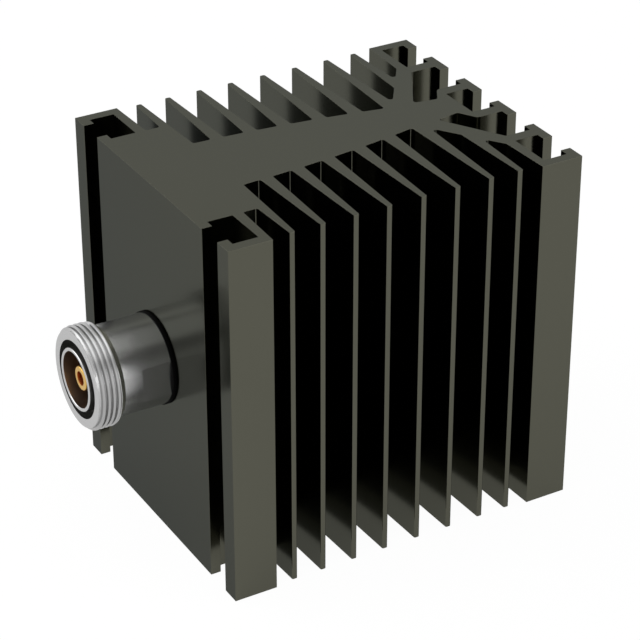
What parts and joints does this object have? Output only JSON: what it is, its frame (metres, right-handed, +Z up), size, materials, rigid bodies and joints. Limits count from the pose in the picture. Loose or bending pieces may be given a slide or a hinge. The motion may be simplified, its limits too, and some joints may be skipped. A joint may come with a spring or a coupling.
{
  "type": "rf dummy load",
  "caption": "Convection-cooled coaxial termination: a finned, T-slotted extruded heat sink that stands on end, with a threaded coaxial jack in the middle of its front face.",
  "frame": {"origin": "centre of the heat sink's lower end face, half way across its width and half way from its front face to its back face", "axes": "+Z up along the extrusion; -Y along the jack's axis, out of its mouth; +X to the right of someone who looks at the jack"},
  "size_m": [0.09, 0.132, 0.108],
  "materials": {
    "black_anodised_aluminium": "black anodised, satin to glossy",
    "white_bronze_plate": "turned brass, white bronze plated",
    "gold_plate": "turned and gold plated",
    "silver_plate": "turned brass, silver plated",
    "copper": "turned copper",
    "black_rubber": "matt moulded rubber",
    "ptfe": "machined PTFE",
    "ceramic": "ground ceramic with a dark resistive film"
  },
  "bodies": {
    "root": {"heat_sink": "black_anodised_aluminium", "connector_shell": "white_bronze_plate", "base_gasket": "black_rubber", "outer_contact": "white_bronze_plate", "inner_contact": "gold_plate", "contact_spring": "gold_plate", "front_bead": "ptfe", "bead_seal": "black_rubber", "line_sleeve": "silver_plate", "rear_bead": "ptfe", "lock_ring": "silver_plate", "inner_conductor": "silver_plate", "front_cap": "silver_plate", "load_resistor": "ceramic", "rear_cap": "silver_plate", "taper_sleeve": "silver_plate", "heat_plug": "copper"}
  },
  "joints": []
}
